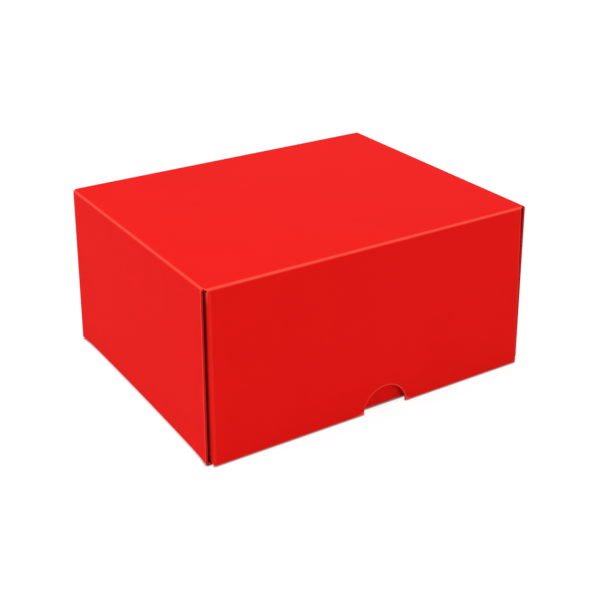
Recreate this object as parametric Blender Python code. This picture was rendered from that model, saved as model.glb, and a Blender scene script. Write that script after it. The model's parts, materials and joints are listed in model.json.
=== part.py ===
# Two-piece telescoping carton: a full-depth lid pulled down over a tray.
# Lid and tray are the same kind of folded blank. The long walls are single and end in
# corner tabs. The short walls are double: the board runs down, turns under a narrow rim
# and comes back inside, with the corner tabs held between its two skins.
# Metres, +Z up, +X along the long side, the front faces -Y. The origin is on the surface
# that the box stands on, under its middle.

import math

import bmesh
import bpy
from mathutils import Vector

# Outside of the closed box, and how far the lid's walls spring out at their foot
LID_LENGTH = 0.250
LID_WIDTH = 0.204
LID_HEIGHT = 0.1205
LID_SPLAY = 0.0025

# Board and folds
BOARD = 0.0015
CREASE_INNER_RADIUS = 0.0006
SEAM = 0.0003
SLIDE_CLEARANCE = 0.0010
FOLD_STEPS = 8

# Long single walls
LID_CUT_EDGE_LIFT = 0.0004
TRAY_CUT_EDGE_DROP = 0.0010
CUT_CORNER_RADIUS = 0.0020
CUT_CORNER_STEPS = 3

# Short double walls
EDGE_SETBACK = 0.0014
LID_RIM_LIFT = 0.0015
INNER_END_CLEARANCE = 0.0008
INNER_CORNER_RADIUS = 0.0030
INNER_CORNER_STEPS = 4

# Corner tabs, which lie loosely between the two skins, nearer to the inner one
TAB_SLACK = 0.0014
TAB_CLEARANCE = 0.0004
TAB_LENGTH = 0.062
TAB_TAPER = 0.0050
TAB_CORNER_RADIUS = 0.0060
TAB_CORNER_STEPS = 6

# Round relief where three creases meet: its centre lies outside the deck's corner
RELIEF_RADIUS = 0.0022
RELIEF_OFFSET = 0.0012
RELIEF_STEPS = 5

# Thumb notches, one in each long wall of the lid, struck from a point level with its foot
NOTCH_RADIUS = 0.0171
NOTCH_OFFSET = 0.0070
NOTCH_STEPS = 96
CUTTER_OVERRUN = 0.004

# Finish of the solid red board, as linear colour
BOARD_COLOURS = {
    "outside": (0.775, 0.0097, 0.0080, 1.0),
    "inside": (0.620, 0.0085, 0.0070, 1.0),
}
BOARD_ROUGHNESS = 0.48
BOARD_METALLIC = 0.0

# Sizes that follow from those above
FOLD_RADIUS = CREASE_INNER_RADIUS + BOARD
DOUBLE_WALL = 3 * BOARD + TAB_SLACK + TAB_CLEARANCE
TRAY_LENGTH = LID_LENGTH - 2 * DOUBLE_WALL - 2 * SLIDE_CLEARANCE
TRAY_WIDTH = LID_WIDTH - 2 * BOARD - 2 * SLIDE_CLEARANCE
TRAY_HEIGHT = LID_HEIGHT - BOARD - SEAM

LEFT = -1
RIGHT = 1
SMOOTH_ANGLE = math.radians(30)


def clear_scene():
    for old in list(bpy.data.objects):
        bpy.data.objects.remove(old, do_unlink=True)


# A blank folded with its deck on top: the deck's outer face lies at zero, the walls hang
# below it. Depths are counted down from there, and insets inwards from the outer faces.
class Shell:
    def __init__(self, name, length, width, rim_depth, cut_edge_depth, splay, front, frame):
        self.name = name
        self.half_length = length / 2
        self.half_width = width / 2
        self.rim_depth = rim_depth
        self.cut_edge_depth = cut_edge_depth
        self.splay = splay
        self.front = front
        self.frame = frame

    def on_side(self, side):
        return lambda inset, depth, along: Vector((side * (self.half_length - inset), along, -depth))

    def on_long_wall(self, end):
        return lambda inset, depth, along: Vector((along, end * (self.half_width - inset), -depth))

    def in_corner(self, side, end):
        return lambda inset, back, depth: Vector(
            (side * (self.half_length - inset), end * (self.half_width - back), -depth)
        )

    # The walls lean out in step with their depth, the long ones to the front and back too
    def lean_out(self, mesh, both_ways):
        for vert in mesh.verts:
            spread = self.splay * -vert.co.z / self.cut_edge_depth
            vert.co.x += spread * vert.co.x / self.half_length
            if both_ways:
                vert.co.y += spread * vert.co.y / self.half_width


def arc(centre, radius, start, stop, steps):
    angles = [start + (stop - start) * step / steps for step in range(steps + 1)]
    return [(centre[0] + radius * math.cos(a), centre[1] + radius * math.sin(a)) for a in angles]


# A right-angled fold that starts on one face and ends in a straight panel: the outline
# turns round the outside of the fold, runs to the panel's far edge and comes back inside.
def folded_panel(first_inset, reach):
    centre = (first_inset + FOLD_RADIUS, FOLD_RADIUS)
    outer = arc(centre, FOLD_RADIUS, 1.5 * math.pi, math.pi, FOLD_STEPS)
    inner = arc(centre, CREASE_INNER_RADIUS, math.pi, 1.5 * math.pi, FOLD_STEPS)
    return outer + [(first_inset, reach), (first_inset + BOARD, reach)] + inner


def new_prism(outline, place, low, high):
    mesh = bmesh.new()
    ring = [mesh.verts.new(place(u, v, low)) for u, v in outline]
    cap = mesh.faces.new(ring)
    swept = bmesh.ops.extrude_face_region(mesh, geom=[cap])["geom"]
    moved = [item for item in swept if isinstance(item, bmesh.types.BMVert)]
    origin = Vector(outline[0])
    shift = place(origin.x, origin.y, high) - place(origin.x, origin.y, low)
    bmesh.ops.translate(mesh, verts=moved, vec=shift)
    return mesh


def round_corners(mesh, is_corner, radius, steps):
    edges = [edge for edge in mesh.edges if is_corner(edge.verts[0].co) and is_corner(edge.verts[1].co)]
    bmesh.ops.bevel(
        mesh, geom=edges, offset=radius, offset_type="OFFSET", segments=steps, profile=0.5,
        affect="EDGES", clamp_overlap=True
    )


def board_material(name, side):
    material = bpy.data.materials.new(name + "_board")
    material.use_nodes = True
    shader = material.node_tree.nodes["Principled BSDF"]
    shader.inputs["Base Color"].default_value = BOARD_COLOURS[side]
    shader.inputs["Roughness"].default_value = BOARD_ROUGHNESS
    shader.inputs["Metallic"].default_value = BOARD_METALLIC
    return material


def add_panel(shell, part_name, mesh, side="outside", origin=(0, 0, 0)):
    name = shell.name + "_" + part_name
    bmesh.ops.translate(mesh, verts=mesh.verts, vec=-Vector(origin))
    bmesh.ops.recalc_face_normals(mesh, faces=mesh.faces)
    data = bpy.data.meshes.new(name)
    mesh.to_mesh(data)
    mesh.free()
    data.shade_smooth()
    data.set_sharp_from_angle(angle=SMOOTH_ANGLE)
    data.materials.append(board_material(name, side))
    panel = bpy.data.objects.new(name, data)
    bpy.context.scene.collection.objects.link(panel)
    panel.parent = shell.frame
    panel.location = origin
    return panel


# Deck: the top of the lid or the floor of the tray, bitten round at its four corners
def add_deck(shell, part_name):
    centre_x = shell.half_length - FOLD_RADIUS - SEAM + RELIEF_OFFSET
    centre_y = shell.half_width - FOLD_RADIUS - SEAM + RELIEF_OFFSET
    skew = math.asin(RELIEF_OFFSET / RELIEF_RADIUS)
    outline = []
    for turn in range(4):
        centre = (centre_x * (1, -1, -1, 1)[turn], centre_y * (1, 1, -1, -1)[turn])
        start = turn * math.pi / 2 + 1.5 * math.pi - skew
        stop = turn * math.pi / 2 + math.pi + skew
        outline += arc(centre, RELIEF_RADIUS, start, stop, RELIEF_STEPS)
    mesh = new_prism(outline, lambda u, v, depth: Vector((u, v, -depth)), 0, BOARD)
    return add_panel(shell, part_name, mesh)


# Long wall: the fold along the deck and the single wall below it, down to its cut edge
def add_long_wall(shell, part_name, end):
    reach = shell.half_length - BOARD - TAB_SLACK - FOLD_RADIUS - SEAM
    outline = folded_panel(0, shell.cut_edge_depth)
    mesh = new_prism(outline, shell.on_long_wall(end), -reach, reach)
    round_corners(
        mesh,
        lambda place: abs(place.x) + SEAM > reach and -place.z + SEAM > shell.cut_edge_depth,
        CUT_CORNER_RADIUS,
        CUT_CORNER_STEPS,
    )
    shell.lean_out(mesh, both_ways=True)
    return add_panel(shell, part_name, mesh)


# Outer skin of a short wall: its raw upright edges stand back from the long walls
def add_outer_wall(shell, part_name, side):
    reach = shell.half_width - EDGE_SETBACK
    outline = folded_panel(0, shell.rim_depth - FOLD_RADIUS - SEAM)
    mesh = new_prism(outline, shell.on_side(side), -reach, reach)
    shell.lean_out(mesh, both_ways=False)
    return add_panel(shell, part_name, mesh)


# Rim: the fold at the foot of the outer skin and the strip under the corner tabs
def add_rim(shell, part_name, side):
    reach = shell.half_width - EDGE_SETBACK
    strip_end = DOUBLE_WALL - BOARD - SEAM
    outline = [(inset, shell.rim_depth - height) for height, inset in folded_panel(0, strip_end)]
    mesh = new_prism(outline, shell.on_side(side), -reach, reach)
    shell.lean_out(mesh, both_ways=False)
    return add_panel(shell, part_name, mesh)


# Inner skin of a short wall: its rim edge is round about the crease that it turns on
def add_inner_wall(shell, part_name, side):
    reach = shell.half_width - BOARD - INNER_END_CLEARANCE
    crease = (DOUBLE_WALL - BOARD / 2, shell.rim_depth - BOARD / 2)
    deck_edge = BOARD + SEAM
    knuckle = arc(crease, BOARD / 2, 0, math.pi, FOLD_STEPS)
    outline = knuckle + [(DOUBLE_WALL - BOARD, deck_edge), (DOUBLE_WALL, deck_edge)]
    mesh = new_prism(outline, shell.on_side(side), -reach, reach)
    round_corners(
        mesh,
        lambda place: abs(place.y) + SEAM > reach and -place.z - SEAM < deck_edge,
        INNER_CORNER_RADIUS,
        INNER_CORNER_STEPS,
    )
    shell.lean_out(mesh, both_ways=False)
    origin = shell.on_side(side)(crease[0], crease[1], 0)
    return add_panel(shell, part_name, mesh, "inside", origin)


# Corner tab: turned round the corner from the long wall and tapered to its free edge
def add_tab(shell, part_name, side, end):
    top = FOLD_RADIUS + SEAM
    foot = shell.rim_depth - BOARD - SEAM
    free_edge = FOLD_RADIUS + TAB_LENGTH
    outline = folded_panel(BOARD + TAB_SLACK, free_edge)
    mesh = new_prism(outline, shell.in_corner(side, end), top, foot)
    free_y = shell.half_width - free_edge
    middle = -(top + foot) / 2
    for vert in mesh.verts:
        if abs(vert.co.y) - SEAM < free_y:
            vert.co.z += math.copysign(TAB_TAPER, middle - vert.co.z)
    round_corners(
        mesh,
        lambda place: abs(place.y) - SEAM < free_y,
        TAB_CORNER_RADIUS,
        TAB_CORNER_STEPS,
    )
    shell.lean_out(mesh, both_ways=True)
    return add_panel(shell, part_name, mesh, "inside")


def add_shell(shell, deck_name):
    panels = {deck_name: add_deck(shell, deck_name)}
    ends = {"front": shell.front, "back": -shell.front}
    sides = {"left": LEFT, "right": RIGHT}
    for end_name, end in ends.items():
        panels[end_name] = add_long_wall(shell, end_name + "_wall", end)
        for side_name, side in sides.items():
            add_tab(shell, end_name + "_" + side_name + "_tab", side, end)
    for side_name, side in sides.items():
        add_outer_wall(shell, side_name + "_outer_wall", side)
        add_rim(shell, side_name + "_rim", side)
        add_inner_wall(shell, side_name + "_inner_wall", side)
    return panels


# One long round cutter makes both thumb notches, so that they lie opposite each other
def cut_notches(shell, walls):
    mesh = bmesh.new()
    depth = 2 * shell.half_width + 2 * CUTTER_OVERRUN
    bmesh.ops.create_cone(
        mesh, cap_ends=True, segments=NOTCH_STEPS, radius1=NOTCH_RADIUS, radius2=NOTCH_RADIUS, depth=depth
    )
    data = bpy.data.meshes.new("notch_cutter")
    mesh.to_mesh(data)
    mesh.free()
    cutter = bpy.data.objects.new("notch_cutter", data)
    bpy.context.scene.collection.objects.link(cutter)
    cutter.parent = shell.frame
    cutter.location = (NOTCH_OFFSET, 0, -LID_HEIGHT)
    cutter.rotation_euler = (math.pi / 2, 0, 0)
    cutter.hide_render = True
    cutter.display_type = "WIRE"
    for wall in walls:
        cut = wall.modifiers.new("thumb_notch", "BOOLEAN")
        cut.operation = "DIFFERENCE"
        cut.solver = "EXACT"
        cut.object = cutter


def add_frame(name, location, rotation):
    frame = bpy.data.objects.new(name, None)
    bpy.context.scene.collection.objects.link(frame)
    frame.location = location
    frame.rotation_euler = rotation
    return frame


def build():
    clear_scene()
    lift_axis = add_frame("lid_lift_axis", (0, 0, LID_HEIGHT), (0, 0, 0))
    tray_frame = add_frame("tray_turned_over", (0, 0, 0), (math.pi, 0, 0))
    lid_rim_depth = LID_HEIGHT - LID_RIM_LIFT
    lid_cut_edge_depth = LID_HEIGHT - LID_CUT_EDGE_LIFT
    lid = Shell("lid", LID_LENGTH, LID_WIDTH, lid_rim_depth, lid_cut_edge_depth, LID_SPLAY, -1, lift_axis)
    tray_cut_edge_depth = TRAY_HEIGHT - TRAY_CUT_EDGE_DROP
    tray = Shell("tray", TRAY_LENGTH, TRAY_WIDTH, TRAY_HEIGHT, tray_cut_edge_depth, 0, 1, tray_frame)
    lid_panels = add_shell(lid, "top_panel")
    add_shell(tray, "floor_panel")
    cut_notches(lid, [lid_panels["front"], lid_panels["back"]])
    bpy.context.view_layer.update()


build()
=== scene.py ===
import json
import math

import bpy
import numpy as np
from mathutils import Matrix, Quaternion, Vector


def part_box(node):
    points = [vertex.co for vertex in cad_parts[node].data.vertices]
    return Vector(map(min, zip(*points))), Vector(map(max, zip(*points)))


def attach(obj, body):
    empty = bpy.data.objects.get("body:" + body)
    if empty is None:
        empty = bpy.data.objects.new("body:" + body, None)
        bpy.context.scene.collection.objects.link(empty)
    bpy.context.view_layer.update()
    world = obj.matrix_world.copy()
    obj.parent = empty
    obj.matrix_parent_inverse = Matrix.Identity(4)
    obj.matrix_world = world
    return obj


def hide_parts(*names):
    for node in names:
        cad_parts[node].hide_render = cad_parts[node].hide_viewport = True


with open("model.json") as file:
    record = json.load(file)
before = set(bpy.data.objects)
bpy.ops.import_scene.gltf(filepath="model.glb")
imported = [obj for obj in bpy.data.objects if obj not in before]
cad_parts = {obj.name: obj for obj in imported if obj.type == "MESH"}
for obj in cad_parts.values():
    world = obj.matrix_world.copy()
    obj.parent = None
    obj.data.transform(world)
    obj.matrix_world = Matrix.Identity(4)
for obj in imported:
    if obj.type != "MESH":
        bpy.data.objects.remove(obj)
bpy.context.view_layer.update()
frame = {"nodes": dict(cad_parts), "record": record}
print("frame loaded with", len(frame["nodes"]), "solids")

# The board and its folds, in metres
board = {
    "thickness": 0.0015,
    "foldRadius": 0.0021,      # outside of a crease
    "seam": 0.0003,            # the gap that the solids keep to each other
    "tabSlack": 0.0017,        # between a corner tab and the outer skin
    "tabClearance": 0.0001,    # between a corner tab and the inner skin
    "edgeTrim": 0.0004,        # how much further the short walls' ends stand back than the solids' do
    "cutRound": 0.00020,       # how far a die-cut edge is rolled over, outside the drawn outline
    "cutSteps": 3,
    "foldSteps": 10,
    "panelSteps": 14,
    "roundSteps": 5,
    "edgeBand": 0.0030,        # strip along a short wall's ends where the grid is closer
    "endBand": 0.0033,         # and along a long wall's ends
    "endSteps": 8,
    "wallRun": 0.0026,         # how far a long wall's grid runs into the fold of its tab
    "heelStep": 0.0002,        # least height of the strip under the tabs
    "cornerRun": 0.0006,       # how soon a cut leaves the deck's corner
    "bowPower": 3,             # how near the short walls their bow begins
    "sagPower": 16,            # how near their ends the rims begin to hang
    "punchRadius": 0.0010,     # round punch over the slit beside each long crease
    "punchRing": 0.0005,       # how far its pale rim reaches, partly wear and partly painted highlight
    "punchPast": 0.0025,       # its middle: past the deck, and inside the deck's end
    "punchInset": 0.0003,
    # Pale crease colour, partly wear and partly painted highlight: the bell's drift moves it along the
    # deck's ends
    "bellMiddle": math.radians(41),    # paleness over the deck's ends: middle of the bell, its drift
    "bellDrift": math.radians(13),     # towards the far side, and its width
    "bellWidth": 0.37,
    "uprightMiddle": 0.20,     # and the same over the upright folds of the tabs
    "uprightWidth": 0.25,
    # Painted shade in the slit: where the tab's face and the back of a short wall are coloured dark
    "darkFrom": 0.55,          # the tab's face darkens in the slit from here, in lengths of its fold,
    "darkRun": 0.95,           # over this much,
    "darkTo": 2.2,             # stays dark up to here
    "darkFade": 2.0,           # and fades over this much
    "darkBack": 0.004,         # how far in from its end the back of a short wall is dark
    "backShare": 0.6,          # share of a cut edge's roll that counts as the back
}
quarterTurn = math.pi / 2
foldLength = board["foldRadius"] * quarterTurn
openEnd = 1.0     # length of a last stretch that runs on past any panel


# Smooth step from 0 to 1 while the value runs from 0 to 1
def easeIn(value):
    share = np.clip(value, 0, 1)
    return share * share * (3 - 2 * share)     # three squares less two cubes


# Distances from 0 to the length: even steps, and over the last radius the sine of a quarter turn, so that
# the steps shrink towards the end
def roundedSteps(length, radius, plainSteps, roundSteps):
    plain = np.linspace(0, length - radius, plainSteps + 1)
    turn = np.linspace(0, quarterTurn, roundSteps + 1)[1:]
    return np.concatenate([plain, length - radius + radius * np.sin(turn)])


# How much a rounded corner takes off a panel's half width at that distance from its free edge:
# the radius less the height of the circle there
def cornerLoss(fromEdge, radius):
    inside = np.clip(radius - fromEdge, 0, radius)
    return radius - np.sqrt(radius ** 2 - inside ** 2)


# A board that runs straight and turns a quarter in between: each straight stretch and each turn adds
# its own run out and down, and the turn so far gives the direction of the face
def followFolds(distance, straights):
    radius = board["foldRadius"]
    out = np.zeros_like(distance)
    down = np.zeros_like(distance)
    turned = np.zeros_like(distance)
    start = 0
    for index, straight in enumerate(straights):
        heading = index * quarterTurn
        run = np.clip(distance - start, 0, straight)
        out += run * math.cos(heading)
        down += run * math.sin(heading)
        start += straight
        if index + 1 < len(straights):
            bend = np.clip((distance - start) / radius, 0, quarterTurn)
            out += radius * (np.sin(heading + bend) - math.sin(heading))
            down += radius * (math.cos(heading) - np.cos(heading + bend))
            turned += bend
            start += foldLength
    return out, down, turned


# One folded carton half, drawn flat with its deck in the middle: sizes are read off the solids
class Blank:
    def __init__(self, half, values):
        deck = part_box(half + "_" + values["deck"])[1]
        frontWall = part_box(half + "_front_wall")
        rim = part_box(half + "_left_rim")
        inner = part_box(half + "_left_inner_wall")
        reach = board["foldRadius"] + board["seam"]
        roll = board["cutRound"]
        self.upsideDown = values["upsideDown"]
        self.height = deck.z if not self.upsideDown else 0     # of the deck's outer face
        self.halfLength = deck.x + reach
        self.halfWidth = deck.y + reach
        self.cutDepth = self.depthOf(frontWall)     # from the deck to a long wall's cut edge
        self.rimDepth = self.depthOf(rim)     # and to a short wall's rim
        self.splay = -frontWall[0].y - self.halfWidth     # how far a wall leans out at its end
        self.bow = values["bow"]
        self.notch = values["notch"]
        self.innerReach = inner[1].y - roll     # half width of an inner skin
        self.innerTop = board["thickness"] + board["seam"] + roll     # depth of its free edge
        # Half width of a short wall, again before the roll
        self.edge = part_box(half + "_left_outer_wall")[1].y - board["edgeTrim"] - roll
        # Where the deck's folds begin, then a tab's fold, and the end of a long wall's grid inside that
        self.deckX = self.halfLength - board["foldRadius"]
        self.deckY = self.halfWidth - board["foldRadius"]
        self.tabRoot = self.halfLength - board["thickness"] - board["tabSlack"] - board["foldRadius"]
        self.wallEnd = self.tabRoot + board["wallRun"]
        self.tabTop = reach + roll     # depths between which a tab grows out of its wall
        self.tabFoot = self.rimDepth - board["thickness"] - board["seam"] - roll
        # Outer skin, tab and inner skin, with the room between them
        self.doubleWall = 3 * board["thickness"] + board["tabSlack"] + board["tabClearance"]
        self.values = values
        self.drawnDepth = self.cutDepth - roll     # the cut edge before its roll is added
        # How far the cut edge rises over the fold at a long wall's ends
        self.heelRise = self.drawnDepth - self.tabFoot - board["heelStep"]
        self.rimDepth += values["rimDrop"]
        self.punchRadius = board["punchRadius"] + roll
        self.punchMiddle = self.deckX - board["punchInset"]
        print(half, "blank: rim at", round(self.rimDepth, 5), "foot at", round(self.cutDepth, 5))

    # How far from the deck's outer face a solid reaches
    def depthOf(self, box):
        return box[1].z if self.upsideDown else self.height - box[0].z

    # Whether a point belongs to the deck or a short wall: within the deck's width or, past its length, no
    # more than half a crease outside that width
    def isAside(self, across, along):
        pastDeck = (across >= self.deckX) & (along < self.deckY + foldLength / 2)
        return (along <= self.deckY) | pastDeck

    # Where a point of the flat blank, that far under the outer face, lies on the folded carton. The deck
    # and short walls follow the folds across, the long walls the fold along. As that one turns, the tab's
    # fold comes in with a smooth step
    def place(self, flat, under):
        across, along = np.abs(flat[:, 0]), np.abs(flat[:, 1])
        sideways, forward = np.sign(flat[:, 0]), np.sign(flat[:, 1])
        aside = self.isAside(across, along)

        out, down, turned = followFolds(across, self.shortStraights())
        shortX = out - under * np.sin(turned)
        shortDepth = down + under * np.cos(turned)

        tabX, tabInset, tabTurned = followFolds(across, [self.tabRoot, openEnd])
        tabX = tabX - under * np.sin(tabTurned)
        tabInset = tabInset + under * np.cos(tabTurned)
        folded = easeIn((along - self.deckY) / foldLength)
        longX = across + (tabX - across) * folded
        inset = under + (tabInset - under) * folded
        out, down, turned = followFolds(along, [self.deckY, openEnd])
        longY = out - inset * np.sin(turned)
        longDepth = down + inset * np.cos(turned)

        x = np.where(aside, shortX, longX)
        y = np.where(aside, along, longY)
        depth = np.where(aside, shortDepth, longDepth)
        return self.spring(sideways * x, forward * y, depth, aside)

    # The walls lean out in step with their depth, the short walls bow back in at the middle of the foot,
    # and the ends of their rims hang down a little, with a high power of the way to the end
    def spring(self, x, y, depth, aside):
        share = depth / self.cutDepth
        middle = 1 - (y / self.halfWidth) ** 2
        nearWall = np.abs(x / self.halfLength) ** board["bowPower"]
        spread = self.splay * share - self.bow * share * middle * nearWall
        leaning = np.where(aside, 0, self.splay * share)
        nearEnd = np.abs(y / self.edge) ** board["sagPower"]
        depth = depth + np.where(aside, self.values["endSag"] * share * nearEnd, 0)
        placedX = x * (1 + spread / self.halfLength)
        placedY = y * (1 + leaning / self.halfWidth)
        if self.upsideDown:
            return np.stack([placedX, -placedY, depth], 1)
        return np.stack([placedX, placedY, self.height - depth], 1)

    # Creases of a short wall: deck, outer skin, strip under the tabs and, where it belongs to this
    # sheet, the inner skin
    def shortStraights(self):
        skin = self.rimDepth - 2 * board["foldRadius"]
        strip = self.doubleWall - 2 * board["foldRadius"]
        return [self.deckX, skin, strip] + ([openEnd] if self.values["innerSkin"] else [])

    # 1 in the middle of a crease and on the rim of a punch, and 0 where the board is flat: the squared sine
    # of twice the turn. At the deck's ends, on the upright folds and round a punch it is a bell, with the
    # square of the distance from its middle in the exponent. It places the pale crease colour, which is
    # partly wear and partly painted highlight
    def creaseMask(self, flat):
        across, along = np.abs(flat[:, 0]), np.abs(flat[:, 1])
        aside = self.isAside(across, along)
        shortTurn = followFolds(across, self.shortStraights())[2]
        longTurn = followFolds(along, [self.deckY, openEnd])[2]
        middle = board["bellMiddle"] + board["bellDrift"] * flat[:, 1] / self.halfWidth
        overFold = (across - self.deckX) / board["foldRadius"]
        deckEnd = np.exp(-((overFold - middle) / board["bellWidth"]) ** 2)
        shortFolds = np.maximum(deckEnd, np.sin(2 * shortTurn) ** 2 * (shortTurn > quarterTurn))
        tabPast = (across - self.tabRoot) / board["foldRadius"]
        upright = np.exp(-((tabPast - board["uprightMiddle"]) / board["uprightWidth"]) ** 2)
        upright = upright * self.values["uprightWear"] * (along > self.deckY + foldLength)
        folds = np.where(aside, shortFolds, np.maximum(np.sin(2 * longTurn) ** 2, upright))
        fromPunch = np.hypot(across - self.punchMiddle, along - self.deckY - board["punchPast"])
        return np.maximum(folds, np.exp(-((fromPunch - self.punchRadius) / board["punchRing"]) ** 2))

    # 1 where shade is painted deep in the slit at a corner: the tab's face beyond its fold, and the back of
    # the short wall near its end. Both fade further in
    def slitShadeMask(self, flat, under):
        across, along = np.abs(flat[:, 0]), np.abs(flat[:, 1])
        past = (across - self.tabRoot) / foldLength
        darkening = easeIn((past - board["darkFrom"]) / board["darkRun"])
        fading = 1 - easeIn((past - board["darkTo"]) / board["darkFade"])
        onTab = darkening * fading * (along > self.deckY + foldLength)
        isBack = under > board["thickness"] - board["backShare"] * board["cutRound"]
        onSkin = isBack & (across > self.deckX + foldLength / 2) & (along < self.edge + board["cutRound"])
        return np.maximum(onTab, onSkin * (1 - easeIn((self.edge - along) / board["darkBack"])))

    # Shares of a long wall's half length at which its columns stand: close together over the folds at the
    # ends and evenly round the thumb notch
    def columns(self):
        half = roundedSteps(self.wallEnd, board["endBand"], board["panelSteps"], board["endSteps"])
        places = np.concatenate([-half[:0:-1], half])
        if self.notch:
            low, high = self.notchFeet()
            turn = np.linspace(self.footTurn(), math.pi - self.footTurn(), self.notch["steps"] + 1)
            bite = self.notch["offset"] - self.notchRadius() * np.cos(turn)
            clear = board["foldRadius"]
            places = np.concatenate([places[places < low - clear], bite, places[places > high + clear]])
        return places / self.wallEnd

    # Turn at which the notch's circle, centred at the height that the box stands on, meets the cut edge:
    # the arcsine of the edge's height over the radius
    def footTurn(self):
        return math.asin((self.height - self.drawnDepth) / self.notchRadius())

    # Radius of the circle that the grid follows: the rolled edge narrows the opening to the notch's own
    def notchRadius(self):
        return self.notch["radius"] + board["cutRound"]

    # The notch's two feet: half a chord, the radius times the cosine of that turn, to either side
    def notchFeet(self):
        halfChord = self.notchRadius() * math.cos(self.footTurn())
        return self.notch["offset"] - halfChord, self.notch["offset"] + halfChord

    # Depth of a long wall's cut edge: level, lifted by a quarter ellipse over the fold at either end and
    # by the notch's circle
    def cutLine(self, x):
        share = np.clip((np.abs(x) - self.tabRoot) / board["wallRun"], 0, 1)
        lift = self.heelRise * (1 - np.sqrt(1 - share ** 2))
        if self.notch:
            side = x - self.notch["offset"]
            low, high = self.notchFeet()
            circle = np.sqrt(np.clip(self.notchRadius() ** 2 - side ** 2, 0, None))
            rise = circle - (self.height - self.drawnDepth)
            lift = np.where((x > low) & (x < high), np.clip(rise, 0, None), lift)
        return self.drawnDepth - lift

    # Shares of the half width at which the rows of the deck and the short walls stand, closer near the ends
    def levels(self):
        half = roundedSteps(self.deckY, board["edgeBand"], board["panelSteps"], board["roundSteps"])
        return np.concatenate([-half[:0:-1], half]) / self.deckY

    # All patches of the flat blank. One long wall and one tab are worked out, and signs mirror them
    def patches(self):
        columns, levels = self.columns(), self.levels()
        wall = self.longPatch(columns)
        tab = self.tabPatch(wall)
        made = [self.deckPatch(columns, levels)]
        for end in (-1, 1):
            made.append(wall * (1, end))
            for side in (-1, 1):
                made.append(tab * (side, end))
        for side, end in ((-1, "leftEnd"), (1, "rightEnd")):
            made.append(self.shortPatch(levels, self.values[end]) * (side, 1))
        return made

    # The deck: the columns and rows scaled to its half length and half width
    def deckPatch(self, columns, levels):
        return np.stack(np.meshgrid(columns * self.deckX, levels * self.deckY), -1)

    # Rows over a long crease and where each ends: at the deck's corner, soon a little inside it, and then
    # round the punch down to the crease's lower side
    def creaseRows(self):
        radius, middle = self.punchRadius, board["punchPast"]
        plain = np.linspace(0, middle - radius, board["roundSteps"] + 1)
        ends = self.punchMiddle + board["punchInset"] * (1 - easeIn(plain / board["cornerRun"]))
        last = math.acos((middle - foldLength) / radius)
        turn = np.linspace(0, last, board["foldSteps"] + 1)[1:]
        past = np.concatenate([plain, middle - radius * np.cos(turn)])
        return past, np.concatenate([ends, self.punchMiddle - radius * np.sin(turn)])

    # A long wall: rows over the crease, down to the foot of the tabs and on to the cut edge
    def longPatch(self, columns):
        x = columns * self.wallEnd
        cut = self.cutLine(x)
        middle = np.minimum(self.tabFoot, cut - board["heelStep"])
        past, ends = self.creaseRows()
        creaseRows = self.deckY + past[:, None] + 0 * x
        share = np.linspace(0, 1, board["panelSteps"] + 1)[:, None]
        upper = self.tabTop + share * (middle - self.tabTop)
        lower = middle + np.linspace(0, 1, board["cutSteps"] + 1)[1:, None] * (cut - middle)
        wallRows = self.flatDepth(np.concatenate([upper, lower]))
        creaseX = ends[:, None] * columns
        wallX = x + 0 * wallRows
        return np.stack([np.concatenate([creaseX, wallX]), np.concatenate([creaseRows, wallRows])], -1)

    # Where a depth on the folded long wall lies on the flat blank: past the crease, which takes its radius
    # off the depth
    def flatDepth(self, depth):
        return self.deckY + foldLength + depth - board["foldRadius"]

    # A corner tab: grows out of the wall's end column and runs round its fold. Its height is that column's,
    # less a taper in step with the run, and its free corners are rounded
    def tabPatch(self, wall):
        first = len(self.creaseRows()[0])
        root = wall[first:first + board["panelSteps"] + 1, -1, 1]
        turn = np.linspace(board["wallRun"], foldLength, board["cutSteps"] + 1)
        length, radius = self.values["tabLength"] - board["cutRound"], self.values["tabCorner"]
        reach = roundedSteps(length, radius, board["panelSteps"] // 2, board["roundSteps"])
        past = np.concatenate([turn, foldLength + reach[1:]])
        run = np.concatenate([0 * turn, reach[1:]])
        half = (root[-1] - root[0]) / 2
        height = half - self.values["tabTaper"] * run / length - cornerLoss(length - run, radius)
        middle = (root[0] + root[-1]) / 2
        y = middle + (root[:, None] - middle) * height / half
        return np.stack([self.tabRoot + past + 0 * y, y], -1)

    # A short wall: columns over each crease and panel, and rows spread over the width that it has there.
    # That is the deck's at first, then the drawn one less the end's trim, with the lean added evenly down
    # to the foot. The inner skin narrows over its crease, and its free corners are rounded
    def shortPatch(self, levels, end):
        stops = [self.deckX]
        for straight in self.shortStraights()[1:]:
            last = stops[-1] + foldLength
            stops += list(np.linspace(stops[-1], last, board["foldSteps"] + 1)[1:])
            if straight == openEnd:
                innerDepth = self.rimDepth - board["foldRadius"] - self.innerTop
                corner = self.values["innerCorner"]
                rounded = roundedSteps(innerDepth, corner, board["panelSteps"], board["roundSteps"])
                stops += list(last + rounded[1:])
            else:
                stops += list(last + straight * easeIn(np.linspace(0, 1, board["panelSteps"] + 1))[1:])
        x = np.array(stops)
        past = x - self.deckX
        growth = np.clip(past / self.rimDepth, 0, 1) * end["lean"] - end["trim"]
        half = self.deckY + (self.edge + growth - self.deckY) * easeIn(past / board["cornerRun"])
        if self.values["innerSkin"]:
            skin, strip = self.shortStraights()[1:3]
            skinStart = 3 * foldLength + skin + strip
            half = half + (self.innerReach - half) * easeIn(1 + (past - skinStart) / foldLength)
            half = half - cornerLoss(x[-1] - x, self.values["innerCorner"])
        return np.stack([x + 0 * levels[:, None], levels[:, None] * half], -1)


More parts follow.
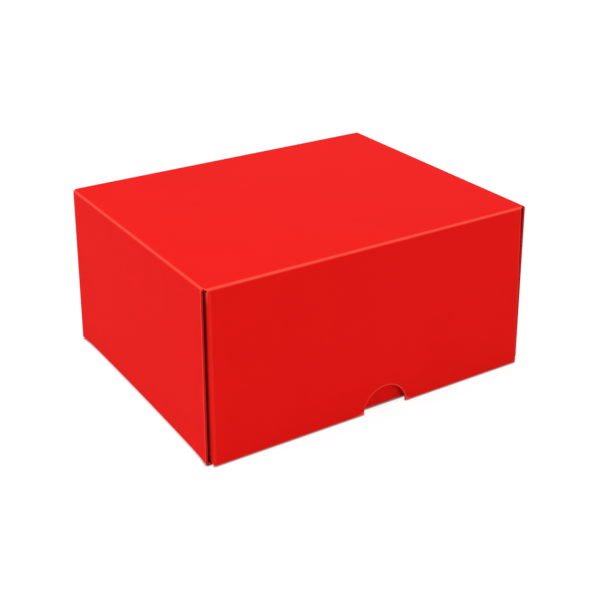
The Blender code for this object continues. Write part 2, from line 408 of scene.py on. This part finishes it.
# Lays patches side by side in the flat, all wound the same way, and welds the points that they share
def joinPatches(patches):
    weldSize = 2e-7
    points, quads, count = [], [], 0
    for patch in patches:
        rising = patch[1:, 1:] - patch[:-1, :-1]
        falling = patch[1:, :-1] - patch[:-1, 1:]
        if np.sum(rising[..., 0] * falling[..., 1] - rising[..., 1] * falling[..., 0]) < 0:
            patch = patch[:, ::-1]
        rows, columns = patch.shape[:2]
        first = (np.arange(rows - 1)[:, None] * columns + np.arange(columns - 1)).ravel() + count
        quads.append(np.stack([first, first + 1, first + columns + 1, first + columns], 1))
        points.append(patch.reshape(-1, 2))
        count += rows * columns
    flat = np.concatenate(points)
    cells = np.round(flat / weldSize).astype(np.int64)
    keep, same = np.unique(cells, axis=0, return_index=True, return_inverse=True)[1:]
    return flat[keep], same.ravel()[np.concatenate(quads)]


# The outline's edges are those that only one face has. A point on it moves out along the sum of its two
# edges' normals, divided by half the square of that sum's length, which is the mitre
def outlineOf(flat, quads):
    edges = np.stack([quads, np.roll(quads, -1, axis=1)], 2).reshape(-1, 2)
    codes = edges[:, 0] * len(flat) + edges[:, 1]
    mirrored = edges[:, 1] * len(flat) + edges[:, 0]
    edges = edges[~np.isin(codes, mirrored)]
    run = flat[edges[:, 1]] - flat[edges[:, 0]]
    run /= np.linalg.norm(run, axis=1, keepdims=True)
    normal = np.stack([run[:, 1], -run[:, 0]], 1)
    mitre = np.zeros_like(flat)
    np.add.at(mitre, edges[:, 0], normal)
    np.add.at(mitre, edges[:, 1], normal)
    square = np.sum(mitre ** 2, axis=1, keepdims=True)
    tiny = 1e-9     # keeps the inner points, which have no normal, from a division by zero
    return edges, np.where(square > 0, 2 * mitre / np.maximum(square, tiny), 0)


# Distance of each flat point from the nearest stretch of the outline, with places as complex numbers: its
# foot on a stretch is the share of the run that the offset covers, kept between the two ends
def distanceToCut(flat, edges):
    places = flat[:, 0] + 1j * flat[:, 1]
    start, run = places[edges[:, 0]], places[edges[:, 1]] - places[edges[:, 0]]
    offset = places[:, None] - start
    share = np.clip((offset * np.conj(run)).real / np.abs(run) ** 2, 0, 1)
    return np.abs(offset - share * run).min(axis=1)


# The points of a sheet before it is folded: the flat grid as outer and as inner face, and rings round its
# rim that follow two quarter circles outside it. With each point goes its depth under the outer face, the
# cosine and the sine of its turn away from that face's normal, and the way out of the outline
def sheetPoints(flat, rim, mitre, rolls):
    thickness = board["thickness"]
    turns = np.linspace(0, quarterTurn, board["cutSteps"] + 1)[1:]
    turns = np.concatenate([turns, turns[::-1]])
    inner = np.arange(len(turns)) >= len(turns) // 2
    points = [flat, flat]
    under = [np.zeros(len(flat)), np.full(len(flat), thickness)]
    facing = [np.ones(len(flat)), -np.ones(len(flat))]
    edging = [np.zeros(len(flat)), np.zeros(len(flat))]
    outward = [mitre, mitre]
    for turn, isInner in zip(turns, inner):
        depth = rolls.max(axis=1) * (1 - math.cos(turn))
        points.append(flat[rim] + math.sin(turn) * rolls * mitre[rim])
        under.append(thickness - depth if isInner else depth)
        facing.append(np.full(len(rim), math.cos(turn) * (-1 if isInner else 1)))
        edging.append(np.full(len(rim), math.sin(turn)))
        outward.append(mitre[rim])
    return [np.concatenate(part) for part in (points, under, facing, edging, outward)]


# The faces of a sheet: the grid as outer face, turned round as inner face, and strips from ring to ring
def sheetFaces(flat, quads, edges, rim):
    placeInRing = np.zeros(len(flat), int)
    placeInRing[rim] = np.arange(len(rim))
    ringStart = 2 * len(flat) + np.arange(2 * board["cutSteps"]) * len(rim)
    levels = [edges] + [placeInRing[edges] + start for start in ringStart] + [edges + len(flat)]
    faces = [quads, quads[:, ::-1] + len(flat)]
    for near, far in zip(levels, levels[1:]):
        faces.append(np.stack([near[:, 1], near[:, 0], far[:, 0], far[:, 1]], 1))
    return np.concatenate(faces)


# Folds a sheet's points and gives their normals by the same formula: the way a point moves on a tiny step
# towards the outer face, times its cosine, plus the way on a step out of the outline, times its sine
def foldPoints(place, points, under, facing, edging, outward):
    step = 1e-5
    placed = place(points, under)
    up = place(points, under - step) - placed
    out = place(points + step * outward, under) - placed
    normals = facing[:, None] * up + edging[:, None] * out
    return placed, normals / np.linalg.norm(normals, axis=1, keepdims=True)


# A board sheet from its flat patches, with the formulas that fold and mask it. Where isRolled says so, the
# cut edge's roll takes half the thickness, which makes it half round
def boardSheet(name, patches, place, creaseMask, slitShadeMask, isRolled=None):
    flat, quads = joinPatches(patches)
    edges, mitre = outlineOf(flat, quads)
    rim = np.unique(edges)
    thickness = board["thickness"]
    rolls = np.full((len(rim), 2), board["cutRound"])
    if isRolled:
        rolls[isRolled(flat[rim]), 0] = thickness / 2
    points, under, facing, edging, outward = sheetPoints(flat, rim, mitre, rolls)
    placed, normals = foldPoints(place, points, under, facing, edging, outward)
    fromCut = np.zeros(len(points))
    fromCut[:2 * len(flat)] = np.tile(distanceToCut(flat, edges), 2)

    mesh = bpy.data.meshes.new(name)
    mesh.from_pydata(placed.tolist(), [], sheetFaces(flat, quads, edges, rim).tolist())
    mesh.shade_smooth()
    setMask(mesh, "crease", creaseMask(points) * (under < thickness / 2))
    # Where shade is painted deep in a slit
    setMask(mesh, "paintedSlitShade", slitShadeMask(points, under))
    setMask(mesh, "cutEdge", edging)
    setMask(mesh, "throughBoard", under / thickness)
    setMask(mesh, "fromCut", fromCut)
    mesh.normals_split_custom_set_from_vertices(normals.tolist())
    setUnfolded(mesh, points, under > thickness / 2)
    mesh.validate()
    piece = bpy.data.objects.new(name, mesh)
    bpy.context.scene.collection.objects.link(piece)
    print(name, "has", len(mesh.polygons), "faces")
    return piece


# Gives a mesh one number for each point, under a name that the materials read
def setMask(mesh, name, values):
    mask = mesh.attributes.new(name, "FLOAT", "POINT")
    mask.data.foreach_set("value", values.astype(np.float32))


# UV map of the unfolded blank: the outer face on the left half of the square, the inner on the right
def setUnfolded(mesh, points, isInner):
    margin = 1.02
    span = 2 * np.abs(points).max() * margin
    uv = points / span + 0.5
    uv[:, 0] = uv[:, 0] / 2 + np.where(isInner, 0.5, 0)
    corner = np.zeros(len(mesh.loops), np.int64)
    mesh.loops.foreach_get("vertex_index", corner)
    layer = mesh.uv_layers.new(name="unfolded")
    layer.data.foreach_set("uv", uv[corner].astype(np.float32).ravel())


# Lid: a full-depth shell whose walls spring out at the foot, with a thumb notch in each long wall
lidValues = {
    "deck": "top_panel",
    "upsideDown": False,
    "bow": 0.0009,
    "rimDrop": 0.0003,
    "endSag": 0.0009,
    "leftEnd": {"trim": 0.0005, "lean": 0.0013},
    "rightEnd": {"trim": -0.0006, "lean": -0.0005},
    "tabLength": 0.062,
    "tabTaper": 0.0050,
    "tabCorner": 0.0060,
    "innerCorner": 0.0030,
    "innerSkin": True,
    "uprightWear": 0.20,
    "notch": {"radius": 0.0169, "offset": 0.0068, "steps": 56},
}
# Tray: the same blank turned over, without the notches; its inner skins are separate flaps
plainEnd = {"trim": 0, "lean": 0}
trayValues = dict(lidValues, deck="floor_panel", upsideDown=True, bow=0, rimDrop=0, endSag=0)
trayValues.update(leftEnd=plainEnd, rightEnd=plainEnd, innerSkin=False, notch=None)


# Makes a carton half's sheet, which stands for all the solids of its body
def makeShell(name, half, values):
    blank = Blank(half, values)
    piece = boardSheet(name, blank.patches(), blank.place, blank.creaseMask, blank.slitShadeMask)
    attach(piece, half)
    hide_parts(*frame["record"]["behaviour"]["bodies"][half])
    return piece


# Inner skins of the tray's short walls: flat flaps whose upper edge is half round about the crease
flapValues = {"cornerRadius": 0.0030, "rows": 24, "cornerSteps": 6}


def makeFlap(name, node, body):
    low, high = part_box(node)
    thickness = board["thickness"]
    side = 1 if low.x > 0 else -1
    face = low.x if side > 0 else high.x          # the face that looks into the box
    axisHeight = high.z - thickness / 2
    reach, radius = high.y - board["cutRound"], flapValues["cornerRadius"]
    height = axisHeight - low.z - board["cutRound"]
    down = roundedSteps(height, radius, flapValues["rows"], flapValues["cornerSteps"])
    levels = np.linspace(-1, 1, 2 * flapValues["rows"] + 1)
    half = reach - cornerLoss(height - down, radius)
    patch = np.stack([down + 0 * levels[:, None], levels[:, None] * half], -1)

    # The flap hangs straight down from its crease, its face towards the middle of the box
    def place(flat, under):
        return np.stack([face + side * under, flat[:, 1] * -side, axisHeight - flat[:, 0]], 1)

    # Pale at the crease, partly wear and partly painted highlight: a bell with the square of the distance
    # from it in the exponent
    def nearCrease(flat):
        return np.exp(-(flat[:, 0] / thickness) ** 2)

    # Nothing of a flap lies in a slit, so none of it gets painted slit shade
    def noSlitShade(flat, under):
        return 0 * under

    piece = boardSheet(name, [patch], place, nearCrease, noSlitShade, lambda flat: flat[:, 0] <= 0)
    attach(piece, body)
    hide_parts(node)
    return piece


lidBoard = makeShell("lid_board", "lid", lidValues)
trayBoard = makeShell("tray_board", "tray", trayValues)
leftFlap = makeFlap("tray_left_flap_board", "tray_left_inner_wall", "tray_left_flap")
rightFlap = makeFlap(
    "tray_right_flap_board", "tray_right_inner_wall", "tray_right_flap"
)


# Fills a node's inputs, named by title or place: with a value as it is, or by a link from another node
def fillInputs(tree, node, inputs):
    for title, value in inputs.items():
        if isinstance(value, bpy.types.NodeSocket):
            tree.links.new(value, node.inputs[title])
        else:
            node.inputs[title].default_value = value


def addNode(tree, kind, place, inputs=None):
    node = tree.nodes.new(kind)
    node.location = place
    fillInputs(tree, node, inputs or {})
    return node


# A math node whose inputs are numbers or other nodes' outputs
def mathNode(tree, operation, place, *values):
    node = addNode(tree, "ShaderNodeMath", place)
    node.operation = operation
    fillInputs(tree, node, dict(enumerate(values)))
    return node.outputs[0]


def noiseNode(tree, place, vector, scale, values):
    node = addNode(tree, "ShaderNodeTexNoise", place, dict(values, Vector=vector, Scale=scale))
    return node.outputs["Fac"]


# An empty group with named inputs, a vector where None is given, and named outputs
def newGroup(name, inputs, outputs):
    tree = bpy.data.node_groups.new(name, "ShaderNodeTree")
    for title, value in inputs.items():
        kind = "NodeSocketVector" if value is None else "NodeSocketFloat"
        socket = tree.interface.new_socket(title, in_out="INPUT", socket_type=kind)
        if value is not None:
            socket.default_value = value
    for title in outputs:
        tree.interface.new_socket(title, in_out="OUTPUT", socket_type="NodeSocketFloat")
    return tree, tree.nodes.new("NodeGroupInput").outputs, tree.nodes.new("NodeGroupOutput").inputs


# Repeats of the dye's clouds and of the grain over a metre, and of the fibres over the unfolded sheet,
# with each noise's detail and the weights of grain and fibres in the felt
grainValues = {
    "cloudScale": 28.0,
    "cloudNoise": {"Detail": 3.0, "Roughness": 0.55},
    "grainScale": 1500.0,
    "grainNoise": {"Detail": 4.0, "Roughness": 0.62},
    "fibreScale": 260.0,
    "fibreNoise": {"Detail": 3.0, "Roughness": 0.6},
    "fibreStretch": (1.0, 9.0, 1.0),
    "grainWeight": 0.6,
    "fibreWeight": 0.4,
}


# Board surface: cloudy dye, and a fine felt of grain and of fibres that run along the blank
def makeGrainGroup(values):
    tree, given, result = newGroup(
        "boardGrain",
        {"Place": None, "Unfolded": None, "Cloud Scale": values["cloudScale"],
         "Grain Scale": values["grainScale"], "Fibre Scale": values["fibreScale"]},
        ["Cloud", "Grain"],
    )
    stretching = {"Vector": given["Unfolded"], "Scale": values["fibreStretch"]}
    stretched = addNode(tree, "ShaderNodeMapping", (-250, -300), stretching).outputs["Vector"]
    cloud = noiseNode(tree, (0, 300), given["Place"], given["Cloud Scale"], values["cloudNoise"])
    grain = noiseNode(tree, (0, 0), given["Place"], given["Grain Scale"], values["grainNoise"])
    fibre = noiseNode(tree, (0, -300), stretched, given["Fibre Scale"], values["fibreNoise"])
    fibreShare = mathNode(tree, "MULTIPLY", (250, -300), fibre, values["fibreWeight"])
    felt = mathNode(tree, "MULTIPLY_ADD", (450, -100), grain, values["grainWeight"], fibreShare)
    tree.links.new(cloud, result["Cloud"])
    tree.links.new(felt, result["Grain"])
    return tree


# The dyed face pales where it is stretched over a crease, and along its cut edges, in a band that fades
# with the square of the distance left; the paleness is partly wear and partly painted highlight. Grain and
# cloud make both uneven
def makeWearGroup():
    tree, given, result = newGroup(
        "foldAndEdgeWear",
        {"Crease": 0.0, "From Cut": 1.0, "Grain": 0.5, "Cloud": 0.5,
         "Crease Amount": 0.8, "Edge Amount": 0.5, "Edge Band": 0.0005},
        ["Wear"],
    )
    grainShare, cloudShare, leastShare = 0.6, 0.5, 0.45
    byGrain = mathNode(tree, "MULTIPLY_ADD", (-200, 0), given["Grain"], grainShare, leastShare)
    uneven = mathNode(tree, "MULTIPLY_ADD", (0, 0), given["Cloud"], cloudShare, byGrain)
    away = mathNode(tree, "DIVIDE", (-600, -200), given["From Cut"], given["Edge Band"])
    near = mathNode(tree, "SUBTRACT", (-400, -200), 1.0, away)
    near.node.use_clamp = True
    fading = mathNode(tree, "POWER", (-200, -200), near, 2.0)
    edge = mathNode(tree, "MULTIPLY", (0, -200), fading, given["Edge Amount"])
    crease = mathNode(tree, "MULTIPLY", (0, 200), given["Crease"], given["Crease Amount"])
    amount = mathNode(tree, "MAXIMUM", (200, 0), crease, edge)
    wearAndHighlight = mathNode(tree, "MULTIPLY", (400, 0), amount, uneven)
    wearAndHighlight.node.use_clamp = True
    tree.links.new(wearAndHighlight, result["Wear"])
    return tree


# Cut edges: the board's plies show as fine lines, a sine of the way through its thickness that the grain
# makes wander
def makePlyGroup():
    tree, given, result = newGroup(
        "cutPlies", {"Cut Edge": 0.0, "Through": 0.0, "Grain": 0.5, "Plies": 7.0}, ["Cut", "Ply"]
    )
    wandering = 0.12
    wander = mathNode(tree, "MULTIPLY_ADD", (0, 0), given["Grain"], wandering, given["Through"])
    plies = mathNode(tree, "MULTIPLY", (150, 0), wander, given["Plies"])
    turns = mathNode(tree, "MULTIPLY", (300, 0), plies, 2 * math.pi)
    wave = mathNode(tree, "SINE", (450, 0), turns)
    ply = mathNode(tree, "MULTIPLY_ADD", (600, 0), wave, 0.5, 0.5)     # from -1..1 to 0..1
    cut = mathNode(tree, "POWER", (600, 200), given["Cut Edge"], 2.0)
    tree.links.new(cut, result["Cut"])
    tree.links.new(ply, result["Ply"])
    return tree


grainGroup = makeGrainGroup(grainValues)
wearAndHighlightGroup = makeWearGroup()
plyGroup = makePlyGroup()
print("board finish groups made")


# Places a group in a material, with the material's own values and links
def useGroup(tree, group, place, inputs):
    node = tree.nodes.new("ShaderNodeGroup")
    node.node_tree = group
    node.location = place
    fillInputs(tree, node, inputs)
    return node.outputs


# Mixes two colours by a mask; each may be a colour or a node's output
def mixColours(tree, place, mask, first, second):
    node = tree.nodes.new("ShaderNodeMix")
    node.data_type = "RGBA"
    node.location = place
    tree.links.new(mask, node.inputs["Factor"])
    sockets = [socket for socket in node.inputs if socket.type == "RGBA"]
    for socket, value in zip(sockets, (first, second)):
        if isinstance(value, tuple):
            socket.default_value = (*value, 1)
        else:
            tree.links.new(value, socket)
    return next(socket for socket in node.outputs if socket.type == "RGBA")


# Reads one of the masks that a sheet carries
def readMask(tree, name, place):
    node = tree.nodes.new("ShaderNodeAttribute")
    node.attribute_name = name
    node.location = place
    return node.outputs["Fac"]


# Dyed board, in linear colour: face and back of the sheet, its creases, pale from wear and painted
# highlight, its cut edge, and the painted shade of a slit
redBoard = {
    "face": (0.790, 0.0078, 0.0058),
    "faceShade": (0.745, 0.0068, 0.0050),
    "back": (0.650, 0.0075, 0.0060),
    # pale crease and edge colour: partly wear, partly painted highlight
    "wornAndHighlit": (1.0, 0.085, 0.060),
    "cut": (0.640, 0.0080, 0.0065),
    "cutShade": (0.500, 0.0060, 0.0050),
    "creaseWear": 0.90,
    "edgeWear": 1.0,
    "edgeBand": 0.0008,
    # painted shade: the dark colour put deep in a slit
    "paintedSlitShade": (0.045, 0.0006, 0.0005),
    "roughness": 0.75,
    "roughnessSpread": 0.12,
    "specular": 0.005,
    "sheen": 0.035,
    "sheenRoughness": 0.5,
    "bump": 0.10,
    "bumpHeight": 0.00006,
    "plies": 7.0,
}
# The turned-in skins, a little duller
redBoardInside = dict(redBoard, creaseWear=0.6)
redBoardInside.update(face=(0.740, 0.0078, 0.0058), faceShade=(0.690, 0.0068, 0.0050))


# Board: the dyed face or back, pale where it is worn and where a highlight is painted, plies on the cut
# edge, and painted shade deep in a slit. Grain sets the roughness and the bump
def boardMaterial(name, finish):
    material = bpy.data.materials.new(name)
    material.use_nodes = True
    tree = material.node_tree
    place = tree.nodes.new("ShaderNodeTexCoord")
    unfolded = tree.nodes.new("ShaderNodeUVMap")
    unfolded.uv_map = "unfolded"
    grain = useGroup(
        tree, grainGroup, (-900, 0), {"Place": place.outputs["Object"], "Unfolded": unfolded.outputs["UV"]}
    )
    wearAndHighlight = useGroup(tree, wearAndHighlightGroup, (-600, 200), {
        "Crease": readMask(tree, "crease", (-900, 400)),
        "From Cut": readMask(tree, "fromCut", (-900, 250)),
        "Grain": grain["Grain"],
        "Cloud": grain["Cloud"],
        "Crease Amount": finish["creaseWear"],
        "Edge Amount": finish["edgeWear"],
        "Edge Band": finish["edgeBand"],
    })
    plies = useGroup(tree, plyGroup, (-600, -300), {
        "Cut Edge": readMask(tree, "cutEdge", (-900, -300)),
        "Through": readMask(tree, "throughBoard", (-900, -500)),
        "Grain": grain["Grain"],
        "Plies": finish["plies"],
    })
    halfThrough = 0.5
    through = readMask(tree, "throughBoard", (-700, 650))
    isBack = mathNode(tree, "GREATER_THAN", (-500, 650), through, halfThrough)
    face = mixColours(tree, (-300, 400), grain["Cloud"], finish["faceShade"], finish["face"])
    face = mixColours(tree, (-200, 600), isBack, face, finish["back"])
    # Wear and painted highlight: the face pales towards the pale crease and edge colour
    wornAndHighlit = mixColours(tree, (-100, 300), wearAndHighlight["Wear"], face, finish["wornAndHighlit"])
    cutColour = mixColours(tree, (-100, -100), plies["Ply"], finish["cutShade"], finish["cut"])
    colour = mixColours(tree, (50, 200), plies["Cut"], wornAndHighlit, cutColour)
    # Painted shade: deep in a slit the colour turns dark
    colour = mixColours(tree, (200, 300), readMask(tree, "paintedSlitShade", (50, 450)), colour, finish["paintedSlitShade"])
    smoothest = finish["roughness"] - finish["roughnessSpread"] / 2
    rough = mathNode(tree, "MULTIPLY_ADD", (50, -200), grain["Grain"], finish["roughnessSpread"], smoothest)
    relief = {"Height": grain["Grain"], "Strength": finish["bump"], "Distance": finish["bumpHeight"]}
    bump = addNode(tree, "ShaderNodeBump", (50, -400), relief)
    fillInputs(tree, tree.nodes["Principled BSDF"], {
        "Base Color": colour,
        "Roughness": rough,
        "Specular IOR Level": finish["specular"],
        "Sheen Weight": finish["sheen"],
        "Sheen Roughness": finish["sheenRoughness"],
        "Normal": bump.outputs["Normal"],
    })
    return material


outsideMaterial = boardMaterial("redBoard", redBoard)
insideMaterial = boardMaterial("redBoardInside", redBoardInside)
for piece in (lidBoard, trayBoard):
    piece.data.materials.append(outsideMaterial)
for piece in (leftFlap, rightFlap):
    piece.data.materials.append(insideMaterial)
print("board materials made")


# Camera: fitted to the edges of the box in the 600 x 600 photograph
photoView = {
    "place": (-0.38470, -0.62960, 0.39888),
    "azimuth": -31.755,
    "elevation": 23.125,
    "roll": -0.476,
    "focalPixels": 1119.3,
    "axisRow": 244.92,
    "framePixels": 600,
    "sensor": 36.0,
}


# Its lens is the focal length in pixels as a share of the frame, times the sensor's width. It looks back
# along the direction that the azimuth and elevation give, rolled about that line
def makeCamera(view):
    data = bpy.data.cameras.new("photoCamera")
    data.sensor_width = view["sensor"]
    data.lens = view["focalPixels"] / view["framePixels"] * view["sensor"]
    data.shift_y = view["axisRow"] / view["framePixels"] - 0.5
    camera = bpy.data.objects.new("photoCamera", data)
    turn, rise = math.radians(view["azimuth"]), math.radians(view["elevation"])
    back = Vector((math.sin(turn) * math.cos(rise), -math.cos(turn) * math.cos(rise), math.sin(rise)))
    camera.location = view["place"]
    camera.rotation_mode = "QUATERNION"
    aim = (-back).to_track_quat("-Z", "Y")
    camera.rotation_quaternion = aim @ Quaternion((0, 0, 1), math.radians(view["roll"]))
    bpy.context.scene.collection.objects.link(camera)
    bpy.context.scene.camera = camera


boxMiddle = (0, 0, 0.06)
# Soft round lamps, each aimed at the middle of the box
lamps = {
    "overheadLamp": {"place": (-0.3, 0.1, 1.9), "size": 1.6, "power": 18.6},
    "leftLamp": {"place": (-1.6, -0.1, 0.8), "size": 1.2, "power": 9.9},
    "frontLamp": {"place": (0.3, -1.7, 0.7), "size": 1.2, "power": 8.0},
    "backLamp": {"place": (1.2, 1.4, 0.8), "size": 1.2, "power": 6.6},
}


def makeLamp(name, lamp):
    data = bpy.data.lights.new(name, "AREA")
    data.shape = "DISK"
    data.size = lamp["size"]
    data.energy = lamp["power"]
    light = bpy.data.objects.new(name, data)
    light.location = lamp["place"]
    aim = Vector(boxMiddle) - Vector(lamp["place"])
    light.rotation_mode = "QUATERNION"
    light.rotation_quaternion = aim.to_track_quat("-Z", "Y")
    bpy.context.scene.collection.objects.link(light)


# 1 for camera, glossy and transmission rays, so that they all see the plain white surroundings
def seenDirectly(tree):
    path = tree.nodes.new("ShaderNodeLightPath").outputs
    seen = mathNode(tree, "MAXIMUM", (-600, 0), path["Is Camera Ray"], path["Is Glossy Ray"])
    return mathNode(tree, "MAXIMUM", (-450, 0), seen, path["Is Transmission Ray"])


# Mixes the shader that lights the object with the one that is seen directly
def mixBySight(tree, lighting, seen):
    shares = {0: seenDirectly(tree), 1: lighting.outputs[0], 2: seen.outputs[0]}
    return addNode(tree, "ShaderNodeMixShader", (0, 0), shares).outputs[0]


surroundings = {
    "skyLight": 0.44,
    "skyColour": (1, 1, 1, 1),
    "floorColour": (0.82, 0.82, 0.82, 1),
    "seenColour": (0.20, 0.20, 0.20, 1),
    "floorLift": 0.86,
    "contactReach": 0.0016,
    "contactPower": 1.6,
    "floorSize": 12.0,
}


# World: a dim white sky that lights the object, and plain white where it is seen
def makeWorld(values):
    world = bpy.data.worlds.new("plainStudio")
    bpy.context.scene.world = world
    world.use_nodes = True
    tree = world.node_tree
    tree.nodes.clear()
    dimSky = {"Color": values["skyColour"], "Strength": values["skyLight"]}
    brightSky = {"Color": values["skyColour"], "Strength": 1.0}
    dim = addNode(tree, "ShaderNodeBackground", (-200, 100), dimSky)
    bright = addNode(tree, "ShaderNodeBackground", (-200, -100), brightSky)
    addNode(tree, "ShaderNodeOutputWorld", (200, 0), {"Surface": mixBySight(tree, dim, bright)})


# Floor: a matt white plane. Seen directly it is lifted to plain white, less in the narrow gap where the box
# meets it, which paints a dark contact shadow there, and keeps only a faint shadow
def makeFloor(values):
    half = values["floorSize"] / 2
    mesh = bpy.data.meshes.new("whiteFloor")
    corners = [(-half, -half, 0), (half, -half, 0), (half, half, 0), (-half, half, 0)]
    mesh.from_pydata(corners, [], [(0, 1, 2, 3)])
    floor = bpy.data.objects.new("whiteFloor", mesh)
    bpy.context.scene.collection.objects.link(floor)
    material = bpy.data.materials.new("whiteFloor")
    material.use_nodes = True
    tree = material.node_tree
    tree.nodes.clear()
    # Painted contact shadow: occlusion cuts the glow back near the box
    near = addNode(tree, "ShaderNodeAmbientOcclusion", (-900, -300), {"Distance": values["contactReach"]})
    clear = mathNode(tree, "POWER", (-700, -300), near.outputs["AO"], values["contactPower"])
    lift = mathNode(tree, "MULTIPLY", (-500, -300), clear, values["floorLift"])
    matt = addNode(tree, "ShaderNodeBsdfDiffuse", (-300, 200), {"Color": values["floorColour"]})
    faint = addNode(tree, "ShaderNodeBsdfDiffuse", (-300, 0), {"Color": values["seenColour"]})
    glow = addNode(tree, "ShaderNodeEmission", (-300, -200), {"Strength": lift})
    lifted = addNode(tree, "ShaderNodeAddShader", (-150, -100), {0: faint.outputs[0], 1: glow.outputs[0]})
    addNode(tree, "ShaderNodeOutputMaterial", (200, 0), {"Surface": mixBySight(tree, matt, lifted)})
    mesh.materials.append(material)


makeCamera(photoView)
for lampName, lampValues in lamps.items():
    makeLamp(lampName, lampValues)
makeWorld(surroundings)
makeFloor(surroundings)
bpy.context.scene.view_settings.view_transform = "Standard"
print("camera, lamps and floor made")
